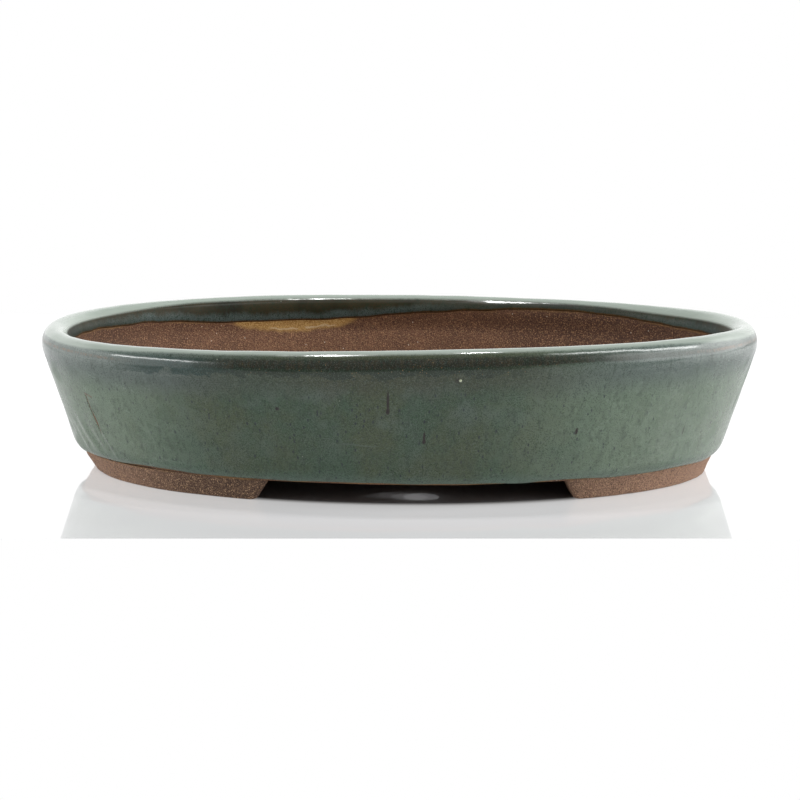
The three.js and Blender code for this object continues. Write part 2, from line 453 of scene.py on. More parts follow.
def clay_ring(name, section, material, node):
    """A closed ring of clay. Its section is a list of stretches: either ("skin", distances
    along the skin, None) or ("line", r, z)."""
    angle = ANGLES[:, None]
    parts, rises, edges = [], [], []
    for kind, first, second in section:
        if kind == "skin":
            along = np.broadcast_to(first, (RING_STEPS, len(first)))
            parts.append(surface(angle, along, 0))
            rises.append(np.broadcast_to(skin.at(first)[1], along.shape))
            from_outer = outer_edge(angle) - along
            from_inner = along - inner_edge(angle)
            edges.append(np.where(along < skin.crest, from_outer, from_inner))
        else:
            r = np.broadcast_to(first, (RING_STEPS, len(first)))
            z = np.broadcast_to(second, r.shape)
            parts.append(pot_point(angle, r, z))
            rises.append(z)
            edges.append(np.full(r.shape, FAR_FROM_EDGE))
    points = np.concatenate(parts, axis=1)
    count = points.shape[1]
    fields = turn_fields(np.broadcast_to(angle, (RING_STEPS, count)))
    fields["rise"] = np.concatenate(rises, axis=1)
    fields["edge"] = np.concatenate(edges, axis=1)
    faces = ring_faces(RING_STEPS, count)
    return make_piece(name, points.reshape(-1, 3), faces, fields, material, node)


def skin_run(start, end, step):
    """Evenly spaced distances along the skin."""
    return np.linspace(start, end, max(2, int(abs(end - start) / step)))


def line(r, z, count):
    """A plain stretch between two points of the section, without its end points."""
    t = np.linspace(0, 1, count + 2)[1:-1]
    return "line", r[0] + (r[1] - r[0]) * t, z[0] + (z[1] - z[0]) * t


def build_wall(material):
    outer = skin_run(0, skin.outside(SEAT_Z), CLAY_STEP)
    inner = skin_run(skin.inside(SEAT_Z), skin.end, CLAY_STEP)
    foot_r = inner_face_r(FLOOR_TOP)
    section = [
        ("skin", outer, None),
        ("skin", inner, None),
        line((foot_r, foot_r), (FLOOR_TOP, FLOOR_BOTTOM), 6),
        line((foot_r, -HEEL_SLOPE * COAT), (FLOOR_BOTTOM, FLOOR_BOTTOM), 4),
    ]
    return clay_ring("wall_clay", section, material, "wall_strip")


def build_lip(material):
    over = skin_run(skin.outside(SEAT_Z), skin.inside(SEAT_Z), CLAY_STEP)
    return clay_ring("lip_clay", [("skin", over, None)], material, "lip_coil")


def build_corner(material):
    """A coil smoothed to a hollow curve between floor and wall, its edges just proud of both."""
    proud = 0.12
    wide = coil_box[1].z - coil_box[0].z
    high_z = FLOOR_TOP + wide
    low_r = inner_face_r(FLOOR_TOP) - wide
    hollow = bezier([
        (inner_face_r(high_z) - proud, high_z),
        (inner_face_r(FLOOR_TOP + 1), FLOOR_TOP + proud),
        (low_r, FLOOR_TOP + proud),
    ], 18)
    back = bezier([(low_r, FLOOR_TOP - 0.4), (inner_face_r(FLOOR_TOP) + 0.8, FLOOR_TOP - 0.4),
                   (inner_face_r(high_z) + 0.6, high_z)], 8)
    angle = ANGLES[:, None]
    smear = 0.35 * waves(ANGLES, 0, 11, 120, 14)[:, None]
    section = np.concatenate([hollow, back])
    r = section[None, :, 0] + hand_made(angle, 0) + smear
    z = np.broadcast_to(section[None, :, 1], r.shape)
    fields = turn_fields(np.broadcast_to(angle, r.shape))
    fields["rise"] = z
    fields["edge"] = np.full(r.shape, FAR_FROM_EDGE)
    points = pot_point(angle, r, z).reshape(-1, 3)
    faces = ring_faces(RING_STEPS, len(section))
    return make_piece("corner_clay", points, faces, fields, material, "corner_coil")


def floor_level(x, y):
    """Small hollows and rises of a floor that was patted flat by hand."""
    random = np.random.default_rng(21)
    total = 0
    for _ in range(18):
        length = math.exp(random.uniform(math.log(9), math.log(70)))
        course = random.uniform(0, math.pi)
        phase = random.uniform(0, 2 * math.pi)
        forward = x * math.cos(course) + y * math.sin(course)
        total = total + np.cos(forward * 6.28 / length + phase)
    return 0.05 * total


def circle(centre, radius, count):
    turn = np.linspace(0, 2 * math.pi, count, endpoint=False)
    return np.stack([centre[0] + radius * np.cos(turn), centre[1] + radius * np.sin(turn)], axis=1)


def floor_outlines(drains):
    """The floor's oval edge, and then the edge of each drain hole."""
    edge_turn = np.linspace(0, 2 * math.pi, FLOOR_EDGE_STEPS, endpoint=False)
    rim = pot_point(edge_turn, inner_face_r(FLOOR_TOP), 0)[:, :2]
    return [rim] + [circle(drain, DRAIN_RADIUS + DRAIN_ROUNDING, HOLE_STEPS) for drain in drains]


def floor_grid(drains):
    """Staggered points that fill the floor between its edge and the holes."""
    grid_x, grid_y = np.meshgrid(
        np.arange(-HEEL_LENGTH, HEEL_LENGTH, FLOOR_STEP),
        np.arange(-HEEL_WIDTH, HEEL_WIDTH, FLOOR_STEP),
    )
    grid_x[1::2] += FLOOR_STEP / 2
    inner = np.stack([grid_x.ravel(), grid_y.ravel()], axis=1)
    reach = np.abs(inner_face_r(FLOOR_TOP)) + FLOOR_STEP / 2
    long_half, wide_half = HEEL_LENGTH - reach, HEEL_WIDTH - reach
    inner = inner[np.hypot(inner[:, 0] / long_half, inner[:, 1] / wide_half) < 1]
    for drain in drains:
        away = np.hypot(inner[:, 0] - drain[0], inner[:, 1] - drain[1])
        inner = inner[away > DRAIN_RADIUS + DRAIN_ROUNDING + FLOOR_STEP / 2]
    return inner


def floor_triangles(flat, outlines, starts, drains):
    """Triangles between the points that leave the holes open."""
    edges = []
    for start, outline in zip(starts, outlines):
        count = len(outline)
        edges += [(int(start + i), int(start + (i + 1) % count)) for i in range(count)]
    vertices = [Vector(point) for point in flat.tolist()]
    triangles = delaunay_2d_cdt(vertices, edges, [], 0, 1e-6)[2]
    hole_reach = DRAIN_RADIUS + DRAIN_ROUNDING * 0.9
    kept = []
    for triangle in triangles:
        middle = flat[list(triangle)].mean(axis=0)
        if not any(math.dist(middle, drain) < hole_reach for drain in drains):
            kept.append(list(triangle))
    return kept


def hole_rings(drain, number, level):
    """Rings of points down a drain hole, rounded at both of its ends."""
    depth = FLOOR_TOP - FLOOR_BOTTOM
    turn = np.linspace(0, math.pi / 2, 5)[1:]
    drop = DRAIN_ROUNDING * (1 - np.cos(turn))
    draw_in = DRAIN_ROUNDING * np.sin(turn)
    down = np.concatenate([drop, depth - drop[::-1]])
    inward = np.concatenate([draw_in, draw_in[::-1]])
    wobble = 0.12 * np.sin(np.arange(HOLE_STEPS) * 6 * math.pi / HOLE_STEPS + number)
    ring = circle(drain, 1, HOLE_STEPS) - np.array(drain)
    rings = []
    for step_down, step_in in zip(down, inward):
        radius = DRAIN_RADIUS + DRAIN_ROUNDING - step_in + wobble * smooth(step_in, 0, 1)
        z = FLOOR_TOP - step_down + level * (1 - step_down / depth)
        rings.append(np.column_stack([ring * radius[:, None] + np.array(drain), z]))
    return rings


def band_quads(rows, outward):
    """Quads between rows of point numbers, one row below the other."""
    quads = []
    for upper, lower in zip(rows, rows[1:]):
        count = len(upper)
        for i in range(count):
            k = (i + 1) % count
            quad = [int(upper[i]), int(lower[i]), int(lower[k]), int(upper[k])]
            quads.append(quad if outward else quad[::-1])
    return quads


def build_floor(material):
    """A slab: one net of triangles, used above and below, and quads down its edge and holes."""
    drains = [(DRAIN_OUT_X, 0), (-DRAIN_OUT_X, 0), (0, DRAIN_OUT_Y), (0, -DRAIN_OUT_Y)]
    outlines = floor_outlines(drains)
    starts = np.cumsum([0] + [len(outline) for outline in outlines])
    flat = np.concatenate(outlines + [floor_grid(drains)])
    kept = floor_triangles(flat, outlines, starts, drains)
    level = floor_level(flat[:, 0], flat[:, 1])
    top = np.column_stack([flat, FLOOR_TOP + level])
    bottom = np.column_stack([flat, FLOOR_BOTTOM + 0.3 * level])
    points = [top, bottom]
    total = 2 * len(flat)
    faces = kept + [[i + len(flat) for i in reversed(face)] for face in kept]
    for number, (start, outline) in enumerate(zip(starts, outlines)):
        above = np.arange(start, start + len(outline))
        rows = [above]
        if number > 0:
            for ring in hole_rings(drains[number - 1], number, level[above]):
                points.append(ring)
                rows.append(np.arange(total, total + len(ring)))
                total += len(ring)
        rows.append(above + len(flat))
        faces += band_quads(rows, outward=number == 0)
    points = np.concatenate(points)
    fields = {"turn_x": points[:, 0] / HEEL_LENGTH, "turn_y": points[:, 1] / HEEL_WIDTH}
    fields["rise"] = points[:, 2]
    fields["edge"] = np.full(len(points), FAR_FROM_EDGE)
    return make_piece("floor_clay", points, faces, fields, material, "floor_slab")


def foot_section():
    """The foot's section: flat below, leaning in outside, and flush with the heel above."""
    bottom_r = FOOT_TOP_R - FOOT_TAPER
    inner_r = FOOT_TOP_R - FOOT_WIDTH
    top_r = -HEEL_SLOPE * COAT + 0.05
    top = FLOOR_BOTTOM + 0.15
    rounding = FOOT_ROUNDING
    lean = FOOT_TAPER * rounding / FOOT_HEIGHT
    stretches = [
        bezier([(bottom_r - rounding, 0), (bottom_r, 0), (bottom_r + lean, rounding)], 6),
        bezier([(bottom_r + lean, rounding), (top_r, top)], 16),
        bezier([(top_r, top), (inner_r, top)], 14),
        bezier([(inner_r, top), (inner_r, rounding)], 8),
        bezier([(inner_r, rounding), (inner_r, 0), (inner_r + rounding, 0)], 5),
        bezier([(inner_r + rounding, 0), (bottom_r - rounding, 0)], 12),
    ]
    return np.concatenate([stretch[1:] for stretch in stretches])


def foot_end_angle(r, z, push):
    """The angle at which the foot's slanted end cuts this point of the section."""
    end_x = GAP_HALF + (FOOT_HEIGHT - z) * GAP_SPREAD / FOOT_HEIGHT + push
    low, high = np.zeros_like(r), np.full_like(r, math.pi / 2)
    for _ in range(40):
        middle = (low + high) / 2
        beyond = pot_point(middle, r, 0 * z)[..., 0] > end_x
        low = np.where(beyond, middle, low)
        high = np.where(beyond, high, middle)
    return (low + high) / 2


def build_foot(name, centre, seed, material, node):
    section = foot_section()
    middle = (section.max(axis=0) + section.min(axis=0)) / 2
    half = (section.max(axis=0) - section.min(axis=0)) / 2
    stations = [(0.0, FOOT_CORNER, share, 1.0) for share in np.linspace(-1, 1, 321)]
    for turn in np.linspace(0, math.pi / 2, 8)[1:]:
        drawn_in = 1 - math.cos(turn)
        push = FOOT_CORNER * (1 - math.sin(turn))
        stations.append((drawn_in, push, 1, 1.0))
        stations.insert(0, (drawn_in, push, -1, 1.0))
    for size in (0.8, 0.55, 0.3, 0.1):
        stations.append((1.0, 0.0, 1, size))
        stations.insert(0, (1.0, 0.0, -1, size))
    corner = np.array([FOOT_CORNER, FOOT_ROUNDING])
    points, edges = [], []
    for drawn_in, push, share, size in stations:
        scaled = middle + (section - middle) * (1 - drawn_in * corner / half) * size
        r, z = scaled[:, 0], scaled[:, 1]
        angle = centre + share * foot_end_angle(r, z, push)
        outward = smooth(r, middle[0], middle[0] + half[0] * 0.7)
        rough = 0.16 * waves(angle, z, seed, 50, 9) + 0.07 * waves(angle, z, seed + 1, 8, 2.5)
        chip = smooth(waves(angle, 0, seed + 2, 14, 3), 1.3, 2.2) * smooth(z, 2.2, 0.2)
        near_left = np.exp(-((apart(angle, LEAN_ANGLE) / LEAN_REACH) ** 2))
        lean = LEFT_LEAN * near_left * smooth(z, FOOT_HEIGHT, -FOOT_HEIGHT / 3)
        r = r + outward * (rough - 0.7 * chip - lean)
        points.append(pot_point(angle, r, z))
        edges.append(OUTER_EDGE_Z - z)
    points = np.array(points)
    rings, rows = points.shape[:2]
    faces = ring_faces(rings, rows)[: (rings - 1) * rows]
    faces.append(list(range(rows)))
    faces.append(list(range((rings - 1) * rows, rings * rows))[::-1])
    flat = points.reshape(-1, 3)
    fields = turn_fields(np.arctan2(flat[:, 1] / HEEL_WIDTH, flat[:, 0] / HEEL_LENGTH))
    fields["rise"] = flat[:, 2]
    fields["edge"] = np.array(edges)
    return make_piece(name, flat, faces, fields, material, node)


# ------------ material helpers

class Value:
    """A number worked out by nodes, so that a formula in a material reads as a formula."""

    def __init__(self, graph, socket):
        self.graph = graph
        self.socket = socket

    def __add__(self, other):
        return self.graph.maths("ADD", self, other)

    def __sub__(self, other):
        return self.graph.maths("SUBTRACT", self, other)

    def __rsub__(self, other):
        return self.graph.maths("SUBTRACT", other, self)

    def __mul__(self, other):
        return self.graph.maths("MULTIPLY", self, other)

    def __truediv__(self, other):
        return self.graph.maths("DIVIDE", self, other)

    def __abs__(self):
        return self.graph.maths("ABSOLUTE", self)

    __radd__ = __add__
    __rmul__ = __mul__


class Graph:
    """Builds the nodes of one material or of the world."""

    def __init__(self, tree):
        self.tree = tree
        tree.nodes.clear()
        self.spots = {}

    def node(self, kind, settings=(), **inputs):
        made = self.tree.nodes.new(kind)
        for key, value in dict(settings).items():
            setattr(made, key, value)
        for key, value in inputs.items():
            self.feed(made.inputs[key.replace("_", " ")], value)
        return made

    def feed(self, socket, value):
        if isinstance(value, Value):
            self.tree.links.new(value.socket, socket)
        else:
            socket.default_value = value

    def maths(self, operation, first, second=0.0):
        made = self.node("ShaderNodeMath", {"operation": operation})
        self.feed(made.inputs[0], first)
        self.feed(made.inputs[1], second)
        return Value(self, made.outputs[0])

    def smooth(self, value, start, end, low=0.0, high=1.0):
        made = self.node("ShaderNodeMapRange", {"interpolation_type": "SMOOTHSTEP"})
        settings = (value, start, end, low, high)
        if start > end:
            settings = (value, end, start, high, low)
        for socket, setting in zip(made.inputs, settings):
            self.feed(socket, setting)
        return Value(self, made.outputs[0])

    def field(self, name):
        made = self.node("ShaderNodeAttribute", {"attribute_name": name})
        return Value(self, made.outputs["Fac"])

    def place(self, stretch):
        """The point in mm, with its height squeezed so that noise is drawn out upwards."""
        if stretch not in self.spots:
            source = self.node("ShaderNodeTexCoord")
            made = self.node("ShaderNodeVectorMath", {"operation": "MULTIPLY"})
            self.tree.links.new(source.outputs["Object"], made.inputs[0])
            made.inputs[1].default_value = (1 / MM, 1 / MM, 1 / MM / stretch)
            self.spots[stretch] = Value(self, made.outputs[0])
        return self.spots[stretch]

    def noise(self, size, detail=2.0, roughness=0.5, stretch=1.0):
        """Cloudy noise of 0 to 1, with lumps of about this size in mm."""
        made = self.node("ShaderNodeTexNoise", Vector=self.place(stretch), Scale=1 / size,
                         Detail=detail, Roughness=roughness)
        return Value(self, made.outputs["Fac"])

    def specks(self, spacing, radius, share, stretch=1.0):
        """Round specks on a share of the cells of an irregular net with this spacing in mm."""
        made = self.node("ShaderNodeTexVoronoi", Vector=self.place(stretch), Scale=1 / spacing)
        split = self.node("ShaderNodeSeparateColor")
        self.tree.links.new(made.outputs["Color"], split.inputs[0])
        chosen = self.smooth(Value(self, split.outputs[0]), share, share * 0.9)
        distance = Value(self, made.outputs["Distance"])
        near = self.smooth(distance, radius / spacing, 0.6 * radius / spacing)
        return chosen * near

    def mix(self, factor, first, second):
        made = self.node("ShaderNodeMix", {"data_type": "RGBA"})
        self.feed(made.inputs[0], factor)
        for socket, colour in ((made.inputs[6], first), (made.inputs[7], second)):
            self.feed(socket, colour if isinstance(colour, Value) else (*colour, 1))
        return Value(self, made.outputs[2])

    def bump(self, height, distance):
        made = self.node("ShaderNodeBump", Height=height, Distance=distance * MM, Strength=1.0)
        return Value(self, made.outputs[0])

    def angle(self):
        """The angle round the pot, in degrees from 0 to 360."""
        turned = self.maths("ARCTAN2", self.field("turn_y"), self.field("turn_x"))
        return self.maths("FLOORED_MODULO", turned * math.degrees(1), 360)

    def mark(self, angle, rise, place, half_width, half_height):
        """A soft-edged spot or dash on the wall at a place given as (angle, height)."""
        x = (angle - place[0]) * (degree_width(place[0]) / half_width)
        z = (rise - place[1]) / half_height
        return self.smooth(self.maths("SQRT", x * x + z * z), 1.0, 0.5)


def new_material(name):
    material = bpy.data.materials.new(name)
    material.use_nodes = True
    return material, Graph(material.node_tree)


def finish_material(graph, colour, roughness, normal, ior):
    shader = graph.node("ShaderNodeBsdfPrincipled", Base_Color=colour, Roughness=roughness,
                        Normal=normal, IOR=ior)
    output = graph.node("ShaderNodeOutputMaterial")
    graph.tree.links.new(shader.outputs[0], output.inputs[0])
    return shader


# ------------ materials

GREEN = (0.032, 0.071, 0.036)
DEEP_GREEN = (0.010, 0.024, 0.012)
SHEEN_GREEN = (0.165, 0.228, 0.158)
OLIVE = (0.050, 0.070, 0.027)
MISTY = (0.095, 0.125, 0.105)
REFLECTED_GREY = (0.074, 0.092, 0.108)
POOLED = (0.085, 0.145, 0.110)
THIN_DARK = (0.008, 0.006, 0.002)
THIN_BROWN = (0.036, 0.024, 0.008)
THIN_GREEN = (0.009, 0.018, 0.007)
KHAKI = (0.037, 0.038, 0.016)
RUST = (0.30, 0.16, 0.05)
LINE_BROWN = (0.12, 0.07, 0.035)
CREST = (0.275, 0.32, 0.28)
TEAL = (0.014, 0.040, 0.036)
INNER_BROWN = (0.034, 0.026, 0.012)
INNER_BLUE = (0.085, 0.115, 0.110)
INDIGO = (0.004, 0.009, 0.018)
CREAM = (0.34, 0.38, 0.30)
EDGE_RUST = (0.13, 0.062, 0.018)
UMBER = (0.010, 0.005, 0.003)
HOLLOW = (0.004, 0.003, 0.002)
BEAD_CREAM = (0.50, 0.54, 0.38)
FOLD_PALE = (0.20, 0.23, 0.20)
HOOK_BROWN = (0.10, 0.052, 0.022)
SLIT_RED = (0.15, 0.062, 0.020)

TAN_GRIT = (0.55, 0.34, 0.16)
WHITE_GRIT = (0.70, 0.60, 0.48)
DARK_GRIT = (0.02, 0.012, 0.008)
TOASTED = (0.27, 0.15, 0.045)
OCHRE = (0.33, 0.17, 0.045)
PALE_OCHRE = (0.55, 0.35, 0.12)
GLINT_CREAM = (0.60, 0.46, 0.28)


def glaze_material(name):
    """Celadon that breaks to dark brown where it is thin and turns blue where it has pooled, with
    some painted reflections and shade.
    """
    material, g = new_material(name)
    rise, edge, inside, angle = g.field("rise"), g.field("edge"), g.field("inside"), g.angle()
    turn_x = g.field("turn_x")
    outside = 1 - inside
    around = 180 + abs(angle - 180)

    clouds = g.noise(26, detail=4, roughness=0.6, stretch=1.3)
    patches = g.noise(9, detail=4, roughness=0.65)
    streaks = g.noise(1.6, detail=3, roughness=0.6, stretch=5)
    grain = g.noise(0.42, detail=1)
    colour = g.mix(g.smooth(clouds, 0.38, 0.62), GREEN, OLIVE)
    misty = g.smooth(g.noise(15, detail=4, roughness=0.6), 0.48, 0.68)
    colour = g.mix(misty * g.smooth(rise, 25, 45, 0.3, 0.75), colour, MISTY)
    # Painted sheen: lighter towards both ends, where the wall reflects the white room at a grazing
    # angle.
    painted_end_sheen = g.smooth(turn_x, 0.05, 0.6) + g.smooth(turn_x, -0.5, -0.85)
    colour = g.mix(painted_end_sheen * g.smooth(patches, 0.2, 0.7, 0.6, 0.95), colour, SHEEN_GREEN)
    pool = g.smooth(edge + 5 * (clouds - 0.5), 7, 1)
    colour = g.mix(pool * 0.6, colour, POOLED)

    # Under the rim: a painted grey reflection of the side walls towards both ends, a painted dark
    # reflection round the right of the shoulder, and a khaki patch in the middle.
    centred = g.smooth(abs(around - 266), 40, 8)
    # Painted reflection of the bright side walls.
    side_reflection = g.smooth(rise + 10 * (clouds - 0.5), 40, 52) * (1 - centred) * outside
    colour = g.mix(side_reflection * 0.6, colour, REFLECTED_GREY)
    # Painted dark reflection of the dark side of the room, where the camera is.
    shade = g.smooth(abs(rise - 57.2 + 2 * (clouds - 0.5)), 1.4, 0.5) * outside
    colour = g.mix(shade * g.smooth(around, 290, 310, 0.3, 0.6), colour, DEEP_GREEN)
    khaki = g.smooth(rise + 14 * (patches - 0.5), 42, 52) * centred * outside
    colour = g.mix(khaki * 0.8, colour, KHAKI)

    # Round the shoulder of the lip: dark green blotches, and above them a brown-black band, where
    # thin glaze breaks brown and is darkened further as a painted dark reflection.
    ragged = rise + 6 * (patches - 0.5)
    below_top = g.smooth(rise, 60.2, 58.7) * outside
    left_end = g.smooth(around, 246, 232)
    green_reach = g.smooth(around, 214, 228) * g.smooth(around, 292, 276)
    blotches = g.noise(7, detail=3, roughness=0.6, stretch=0.5)
    green_band = g.smooth(rise + 12 * (blotches - 0.5), 53.0, 54.0) * below_top * green_reach
    colour = g.mix(green_band, colour, g.mix(left_end, THIN_GREEN, TEAL))
    brown_reach = g.smooth(around, 230, 244) * g.smooth(around, 316, 284, 0.1, 1)
    brown_edge = rise + 1.5 * (streaks - 0.5) + 2 * (clouds - 0.5)
    # Thin brown glaze, darkened further as a painted dark reflection of the camera's side.
    brown_and_reflection_band = g.smooth(brown_edge, 55.9, 56.7) * below_top * brown_reach
    thin_glaze_and_reflection = g.mix(g.smooth(streaks, 0.4, 0.7) * 0.7, THIN_DARK, THIN_BROWN)
    colour = g.mix(brown_and_reflection_band * 0.95, colour, thin_glaze_and_reflection)
    rust_specks = g.specks(0.8, 0.2, 0.14) * g.smooth(ragged, 50, 55) * below_top * centred
    colour = g.mix(rust_specks * 0.8, colour, RUST)
    ends = g.smooth(abs(around - 268), 44, 58)
    line = g.smooth(abs(rise - 57.2 + 1.5 * (clouds - 0.5)), 0.8, 0.2) * ends * outside
    colour = g.mix(line * g.smooth(streaks, 0.35, 0.6) * 0.85, colour, LINE_BROWN)

    # Inside the lip: brown where it is thin, blue above its lower edge, rust on the edge itself.
    inner = g.mix(g.smooth(clouds, 0.4, 0.7), INNER_BROWN, THIN_DARK)
    inner_pool = g.smooth(edge + 5 * (patches - 0.5) + 3 * (streaks - 0.5), 5.0, 1.5)
    blue_share = g.smooth(turn_x, 0.35, -0.15, 0.25, 0.9) + g.smooth(turn_x, 0.75, 0.95, 0, 0.4)
    blue_share = blue_share * g.smooth(turn_x, -0.95, -0.75, 0.4, 1)
    inner = g.mix(inner_pool * blue_share, inner, INNER_BLUE)
    colour = g.mix(inside * g.smooth(rise, 61.9, 60.4), colour, inner)
    rusty = g.smooth(edge + (streaks - 0.5), 1.1, 0.4) * inside
    colour = g.mix(rusty * 0.8, colour, EDGE_RUST)

    # The crest: pale glaze, paler still as a painted reflection of the bright room, wider at the
    # ends.
    toward_end = g.smooth(abs(turn_x), 0.6, 0.95)
    crest = g.smooth(rise + 1.6 * toward_end + 0.35 * inside, 60.3, 61.6)
    colour = g.mix(crest, colour, CREST)

    # Streaks and specks in the melt.
    body = 1 - crest
    colour = g.mix(g.smooth(streaks, 0.5, 0.28) * 0.5 * body, colour, DEEP_GREEN)
    colour = g.mix(g.smooth(grain, 0.48, 0.36) * 0.75 * body, colour, DEEP_GREEN)
    lit_grain = g.smooth(grain, 0.52, 0.64) * g.smooth(rise, 56, 52, 0.3, 0.5)
    colour = g.mix(lit_grain * body * outside, colour, MISTY)
    dashes = g.specks(1.6, 0.36, 0.4, stretch=3.5) * g.smooth(rise, 52, 44)
    colour = g.mix(dashes * 0.85, colour, INDIGO)
    dots = g.specks(1.0, 0.22, 0.4)
    colour = g.mix(dots * 0.75 * body, colour, INDIGO)
    pale_dots = g.specks(4.5, 0.28, 0.1)
    colour = g.mix(pale_dots * 0.6 * body, colour, CREAM)
    colour = single_marks(g, colour, angle, rise)

    pits = g.specks(2.8, 0.25, 0.25)
    height = g.noise(7, detail=2) * 0.25 + g.noise(1.6) * 0.05 - pits * 0.1
    normal = g.bump(height, 0.5)
    satin = inside * g.smooth(rise, 60.3, 58.5)
    hazy = outside * g.smooth(rise, 54, 50)
    roughness = 0.1 + 0.1 * patches + (0.12 + 0.15 * misty) * hazy + 0.3 * satin
    shader = finish_material(g, colour, roughness, normal, 1.52)
    g.feed(shader.inputs["Specular IOR Level"], 0.5 - 0.42 * satin)
    return material


def single_marks(g, colour, angle, rise):
    """Everything on the glaze that is there only once."""
    for place, half_width, half_height in DARK_RUNS:
        spot = g.mark(angle, rise, place, half_width, half_height)
        colour = g.mix(spot, colour, UMBER)
    colour = g.mix(g.mark(angle, rise, PINHOLE, 1.0, 1.0), colour, HOLLOW)
    bead_shadow = g.mark(angle, rise, (BEAD[0] - 0.35, BEAD[1]), 1.5, 1.2)
    colour = g.mix(bead_shadow * 0.5, colour, UMBER)
    bead = g.mark(angle, rise, BEAD, BEAD_RADIUS, BEAD_RADIUS)
    colour = g.mix(bead, colour, BEAD_CREAM)
    return scar_and_crease(g, colour, angle, rise)


def scar_and_crease(g, colour, angle, rise):
    """The scar's pale fold, its hook and its brown slit, and the crease in the front."""
    below = g.maths("MINIMUM", rise - SCAR_MIDDLE, 0)
    drift = 0.0145 * below * below - 0.18 * (rise - SCAR_MIDDLE) + 0.3 * g.maths("SINE", rise / 1.9)
    x = (angle - SCAR_ANGLE) * degree_width(SCAR_ANGLE) - drift
    open_part = g.smooth(rise, 20, 23) * g.smooth(rise, SCAR_TOP + 0.4, SCAR_TOP - 0.4)
    wide = 0.36 + 0.5 * g.smooth(abs(rise - SCAR_MIDDLE - 1), 4.0, 1)
    slit = g.smooth(abs(x) / wide, 1.0, 0.5) * open_part
    low_part = g.smooth(rise, SCAR_END - 2, SCAR_END + 1) * g.smooth(rise, 31, 25)
    pale = g.smooth(abs(x - 0.9), 0.8, 0.2) * low_part
    colour = g.mix(pale * 0.5, colour, FOLD_PALE)
    hook_x = (angle - SCAR_ANGLE - 0.1) * degree_width(SCAR_ANGLE)
    hook_line = g.smooth(abs(rise - SCAR_TOP + 0.25 * hook_x), 0.5, 0.15)
    hook = hook_line * g.smooth(abs(hook_x), 2.8, 2.2)
    colour = g.mix(hook * 0.9, colour, HOOK_BROWN)
    colour = g.mix(crease_line(g, angle, rise) * 0.45, colour, MISTY)
    return g.mix(slit, colour, SLIT_RED)


def crease_line(g, angle, rise):
    """Where the shallow crease near the middle of the front is."""
    x = (angle - CREASE[0]) * degree_width(CREASE[0]) / 8
    z = rise - CREASE[1] + 0.4 * g.maths("SINE", x * 2.5)
    return g.smooth(abs(z), 0.45, 0.1) * g.smooth(abs(x), 1.1, 0.7)


def clay_material(name, base, light, gloom, painted_end_light):
    """Coarse stoneware: base clay with tan, white and dark grit, toasted where the glaze ends."""
    material, g = new_material(name)
    rise, edge, angle = g.field("rise"), g.field("edge"), g.angle()
    clouds = g.noise(20, detail=4, roughness=0.6)
    grain = g.noise(0.42, detail=1)
    colour = g.mix(g.smooth(clouds, 0.35, 0.75) * 0.5, base, gloom)
    turn_x = g.field("turn_x")
    # Painted light and shade towards both ends: painted shade inside the pot, painted light on the
    # feet.
    ends = g.smooth(turn_x, 0.1, 0.8, 0, 0.75) + g.smooth(turn_x, -0.6, -0.95, 0, 0.6)
    colour = g.mix(ends, colour, painted_end_light)
    colour = g.mix(g.smooth(grain, 0.47, 0.36) * 0.85, colour, gloom)
    colour = g.mix(g.smooth(grain, 0.53, 0.65) * 0.5, colour, light)
    fine_grit = g.specks(0.75, 0.3, 0.4)
    colour = g.mix(fine_grit, colour, light)
    tan_grit = g.specks(1.0, 0.32, 0.22)
    colour = g.mix(tan_grit * 0.8, colour, TAN_GRIT)
    white_grit = g.specks(2.2, 0.3, 0.09)
    colour = g.mix(white_grit * 0.85, colour, WHITE_GRIT)
    dark_grit = g.specks(1.0, 0.32, 0.25)
    colour = g.mix(dark_grit * 0.7, colour, DARK_GRIT)
    at_glaze = g.smooth(edge, 1.2, 0.3) * g.smooth(edge, -1.0, 0.0)
    toasted = at_glaze * g.smooth(rise, 40, 20, 0.35, 0.8)
    colour = g.mix(toasted * g.smooth(clouds, 0.35, 0.6), colour, TOASTED)
    colour = inner_stain(g, colour, angle, rise, clouds)
    height = grain * 0.5 + tan_grit * 0.3 + g.noise(4, detail=3) * 0.5 - dark_grit * 0.5
    normal = g.bump(height, 0.3)
    finish_material(g, colour, 0.78 + 0.1 * grain, normal, 1.45)
    return material


def inner_stain(g, colour, angle, rise, clouds):
    """A run of thin ochre glaze on the clay inside the back wall, with a painted highlight along
    its wavy edge.
    """
    off = (angle - STAIN_ANGLE) / STAIN_HALF_WIDTH
    uneven = 2.5 * (g.noise(5, detail=2) - 0.5)
    arc = STAIN_BOTTOM + 3.6 * off * off + 1.5 * (clouds - 0.5) + uneven
    within = g.smooth(abs(off), 1.08, 0.9)
    run = within * g.smooth(rise - arc, -1.6, 1.2) * g.smooth(rise, 56, 54)
    mottling = g.smooth(g.noise(0.5, detail=2), 0.4, 0.6)
    mottled = g.mix(mottling, OCHRE, PALE_OCHRE)
    colour = g.mix(run * 0.9, colour, mottled)
    # Painted highlight: a pale wavy line where the edge of the glaze film catches the light.
    broken = g.smooth(g.noise(7, detail=1), 0.42, 0.52) * g.smooth(off, -0.9, -0.6)
    thin = g.smooth(abs(rise - arc - 0.9), 0.6, 0.1)
    streak = within * broken * thin * g.smooth(abs(off), 0.8, 0.6)
    return g.mix(streak * 0.7, colour, GLINT_CREAM)


# ------------ studio

CAMERA_DISTANCE = 847.1
CAMERA_RISE = math.radians(7.76)
CAMERA_TURN = math.radians(4.59)
CAMERA_ROLL = math.radians(0.78)
AIM_Z = 30.14

LIGHT_DISTANCE = 1.6

# The sheet on which the pot stands.
TABLE_FRONT = -154
TABLE_BACK = 632
TABLE_HALF = 1200
TABLE_GAP = 0.02  # keeps the sheet's face apart from the feet's
TABLE_TURN = math.radians(-0.8)


